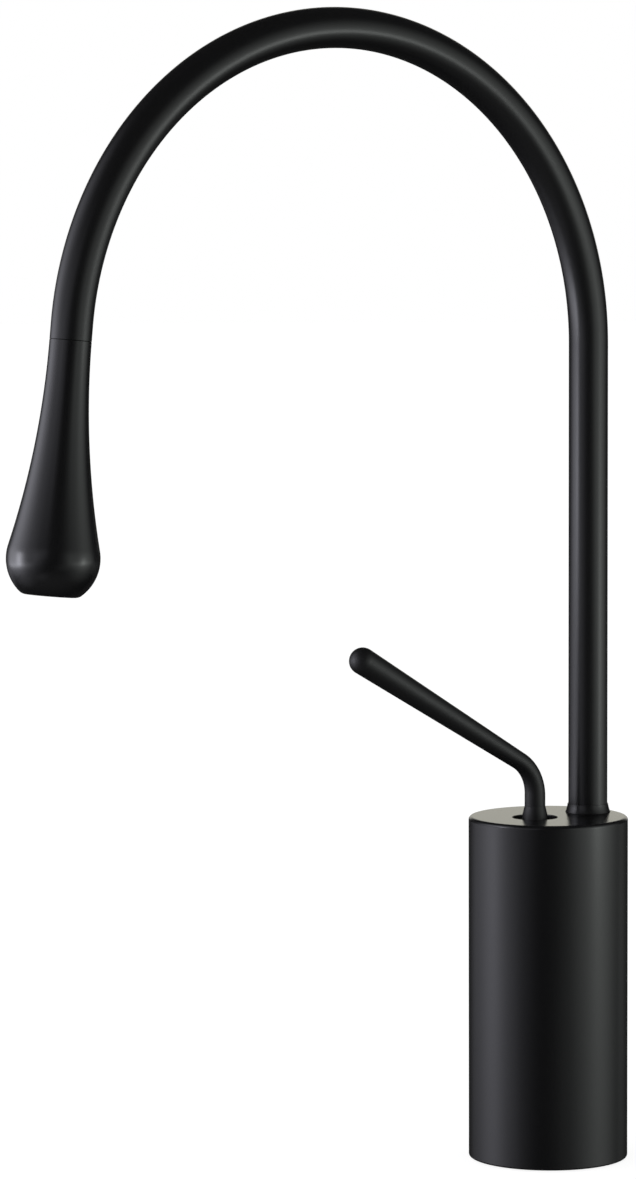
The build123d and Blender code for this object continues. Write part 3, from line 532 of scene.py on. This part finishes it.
def new_material(name):
    """A material with its tree and its main shader."""
    material = bpy.data.materials.new(name)
    material.use_nodes = True
    return material, material.node_tree, material.node_tree.nodes["Principled BSDF"]


def grained_material(
    name, shades, roughness, metallic=0.0, grain=PLAIN_GRAIN, relief=PLAIN_RELIEF, stretch=(1, 1, 1)
):
    """A material whose colour, gloss and relief vary a little with its grain."""
    material, tree, shader = new_material(name)
    value = noise(tree, grain, stretch)
    colour = colour_between(tree, value, GRAIN_RANGE, shades)
    gloss = number_between(tree, value, GRAIN_RANGE, roughness)
    tree.links.new(colour, shader.inputs["Base Color"])
    tree.links.new(gloss, shader.inputs["Roughness"])
    shader.inputs["Metallic"].default_value = metallic
    add_bump(tree, shader, value, relief)
    return material


def black_paint(name, roughness):
    """Black paint, whose gloss differs a little from piece to piece."""
    return grained_material(name, roughness=roughness, **BLACK_PAINT)


def make_materials():
    """Materials by the record's slots."""
    by_slot = {"black_finish": black_paint("satin_black", SATIN_ROUGHNESS)}
    for slot, values in INNER_MATERIALS.items():
        by_slot[slot] = grained_material(slot, **values)
    return by_slot


# Camera and studio

def from_camera(turn, distance, height):
    """A place round the object, turned to the right of the camera's direction."""
    angle = radians(CAMERA_AZIMUTH + turn)
    return Vector((distance * sin(angle), -distance * cos(angle), height))


def camera_axes():
    """The camera's place in metres, and its right, up and forward directions."""
    heading = radians(CAMERA_AZIMUTH + CAMERA_YAW)
    pitch = radians(CAMERA_PITCH)
    roll = radians(CAMERA_ROLL)
    place = from_camera(0, CAMERA_DISTANCE, CAMERA_HEIGHT) * MM
    forward = Vector((-sin(heading) * cos(pitch), cos(heading) * cos(pitch), -sin(pitch)))
    level = Vector((cos(heading), sin(heading), 0))
    upright = level.cross(forward)
    right = cos(roll) * level + sin(roll) * upright
    up = cos(roll) * upright - sin(roll) * level
    return place, right, up, forward


def make_camera():
    """The camera at the photograph's angle, with its sensor along the photograph's longer side."""
    place, right, up, forward = camera_axes()
    data = bpy.data.cameras.new("camera")
    data.sensor_width = SENSOR
    data.lens = FOCAL_PIXELS / PHOTO_HEIGHT * SENSOR
    camera = bpy.data.objects.new("camera", data)
    facing = Matrix((right, up, -forward)).transposed().to_4x4()
    camera.matrix_world = Matrix.Translation(place) @ facing
    bpy.context.scene.collection.objects.link(camera)
    bpy.context.scene.camera = camera


def fade_out(light, peak, facing, fade):
    """Lets a lamp's light fall to nothing across and upwards from its brightest point."""
    light.use_nodes = True
    tree = light.node_tree
    spot = tree.nodes.new("ShaderNodeNewGeometry")
    mapping = tree.nodes.new("ShaderNodeMapping")
    mapping.vector_type = "TEXTURE"
    mapping.inputs["Location"].default_value = peak
    mapping.inputs["Rotation"].default_value = facing
    mapping.inputs["Scale"].default_value = (*fade, 1)
    glow = tree.nodes.new("ShaderNodeTexGradient")
    glow.gradient_type = "QUADRATIC_SPHERE"
    tree.links.new(spot.outputs["Position"], mapping.inputs["Vector"])
    tree.links.new(mapping.outputs["Vector"], glow.inputs["Vector"])
    tree.links.new(glow.outputs["Fac"], tree.nodes["Emission"].inputs["Strength"])


def make_softbox(name, colour, lamp):
    """A soft upright lamp beside the object, brightest at one height and fading away from there."""
    low, high = lamp.span
    width = 2 * lamp.fade[0]
    height = high - low
    light = bpy.data.lights.new(name, "AREA")
    light.shape = "RECTANGLE"
    light.size = width
    light.size_y = height
    light.energy = lamp.brightness * pi * width * height
    light.color = colour
    softbox = bpy.data.objects.new(name, light)
    softbox.location = from_camera(lamp.turn, lamp.distance, (low + high) / 2)
    facing = from_camera(lamp.turn, -1, 0).to_track_quat("-Z", "Y").to_euler()
    softbox.rotation_euler = facing
    softbox.visible_camera = False
    bpy.context.scene.collection.objects.link(softbox)
    fade_out(light, from_camera(lamp.turn, lamp.distance, lamp.peak), facing, lamp.fade)


def floor_material():
    """A matte pale surface that glows for the camera alone, so that only a soft shadow shows on it."""
    material, tree, shader = new_material("pale_floor")
    path = tree.nodes.new("ShaderNodeLightPath")
    glow = number_between(tree, path.outputs["Is Camera Ray"], (0, 1), (0, 1 - FLOOR_SHADE))
    tree.links.new(glow, shader.inputs["Emission Strength"])
    shader.inputs["Emission Color"].default_value = (*WHITE, 1)
    shader.inputs["Base Color"].default_value = (FLOOR_COLOUR, FLOOR_COLOUR, FLOOR_COLOUR, 1)
    shader.inputs["Roughness"].default_value = 1.0
    shader.inputs["Specular IOR Level"].default_value = 0.0
    return material


def make_floor():
    """A pale floor that the paint doesn't mirror and that lets lamps shine through from below."""
    mesh = bmesh.new()
    bmesh.ops.create_circle(mesh, cap_ends=True, segments=FLOOR_SIDES, radius=FLOOR_RADIUS)
    data = bpy.data.meshes.new("floor")
    mesh.to_mesh(data)
    mesh.free()
    data.materials.append(floor_material())
    floor = bpy.data.objects.new("floor", data)
    floor.location.z = -FLOOR_GAP
    floor.visible_glossy = False
    floor.visible_shadow = False
    bpy.context.scene.collection.objects.link(floor)


def by_elevation(tree, height, start, full, level=1.0):
    """A brightness that grows to a level from one elevation in degrees to another."""
    return number_between(tree, height, (sin(radians(start)), sin(radians(full))), (0, level))


def backdrop_light(tree, behind, height):
    """A backdrop that stands on the horizon, and fades out sideways and upwards."""
    side = (cos(radians(BACKDROP_END)), cos(radians(BACKDROP_FULL)))
    middle = number_between(tree, behind, side, interpolation="SMOOTHSTEP")
    above = by_elevation(tree, height, 0, BACKDROP_FOOT)
    below = by_elevation(tree, height, BACKDROP_TOP, BACKDROP_FADE)
    return combined(tree, "MULTIPLY", combined(tree, "MULTIPLY", above, below), middle)


def ground_light(tree, behind, height):
    """A ground that grows paler downwards and towards the camera."""
    front = number_between(tree, behind, (GROUND_BACK, -GROUND_BACK))
    lower = by_elevation(tree, height, GROUND_EDGE, GROUND_FULL, GROUND_LIGHT)
    return combined(tree, "MULTIPLY", lower, front)


def make_world():
    """Even light, a white background, and what the paint mirrors: a warm backdrop, room and ground."""
    world = bpy.data.worlds.new("studio")
    bpy.context.scene.world = world
    world.use_nodes = True
    tree = world.node_tree
    light = tree.nodes["Background"]
    ray = tree.nodes.new("ShaderNodeLightPath").outputs
    direction = tree.nodes.new("ShaderNodeTexCoord").outputs["Generated"]
    split = tree.nodes.new("ShaderNodeSeparateXYZ")
    tree.links.new(direction, split.inputs["Vector"])
    height = split.outputs["Z"]
    # The cosine between a direction and the one straight behind the object
    toward = tree.nodes.new("ShaderNodeVectorMath")
    toward.operation = "DOT_PRODUCT"
    toward.inputs[1].default_value = from_camera(180, 1, 0)
    tree.links.new(direction, toward.inputs[0])
    behind = toward.outputs["Value"]
    backdrop = backdrop_light(tree, behind, height)
    room = combined(tree, "MAXIMUM", ground_light(tree, behind, height), ROOM_LIGHT)
    mirrored = combined(tree, "MAXIMUM", backdrop, room)
    glossy = combined(tree, "MULTIPLY", mirrored, ray["Is Glossy Ray"])
    matte = combined(tree, "MULTIPLY", ray["Is Diffuse Ray"], EVEN_LIGHT)
    seen = combined(tree, "ADD", ray["Is Camera Ray"], ray["Is Transmission Ray"])
    strength = combined(tree, "ADD", combined(tree, "ADD", seen, glossy), matte)
    tree.links.new(strength, light.inputs["Strength"])
    warmth = combined(tree, "MULTIPLY", backdrop, ray["Is Glossy Ray"])
    tint = colour_between(tree, warmth, (0, 1), (WHITE, BACKDROP_TINT))
    tree.links.new(tint, light.inputs["Color"])


materials = make_materials()
slot_of = {row["node"]: row["material_slot"] for row in frame["record"]["subparts"]}
for node, piece in frame["nodes"].items():
    piece.data.materials.clear()
    piece.data.materials.append(materials[slot_of[node]])

satin_black = materials["black_finish"]
smooth_black = black_paint("smooth_black", SMOOTH_ROUGHNESS)
soft_black = black_paint("soft_black", SOFT_ROUGHNESS)
make_column(smooth_black)
make_spout(satin_black)
make_collar(satin_black)
make_nozzle(smooth_black)
make_lever(soft_black)
make_ferrule(soft_black)

make_floor()
make_world()
for i, lamp in enumerate(LEFT_LAMPS):
    make_softbox(f"left_lamp_{i}", LEFT_COLOUR, lamp)
for i, lamp in enumerate(RIGHT_LAMPS):
    make_softbox(f"right_lamp_{i}", RIGHT_COLOUR, lamp)
make_camera()
bpy.context.scene.view_settings.view_transform = "Standard"
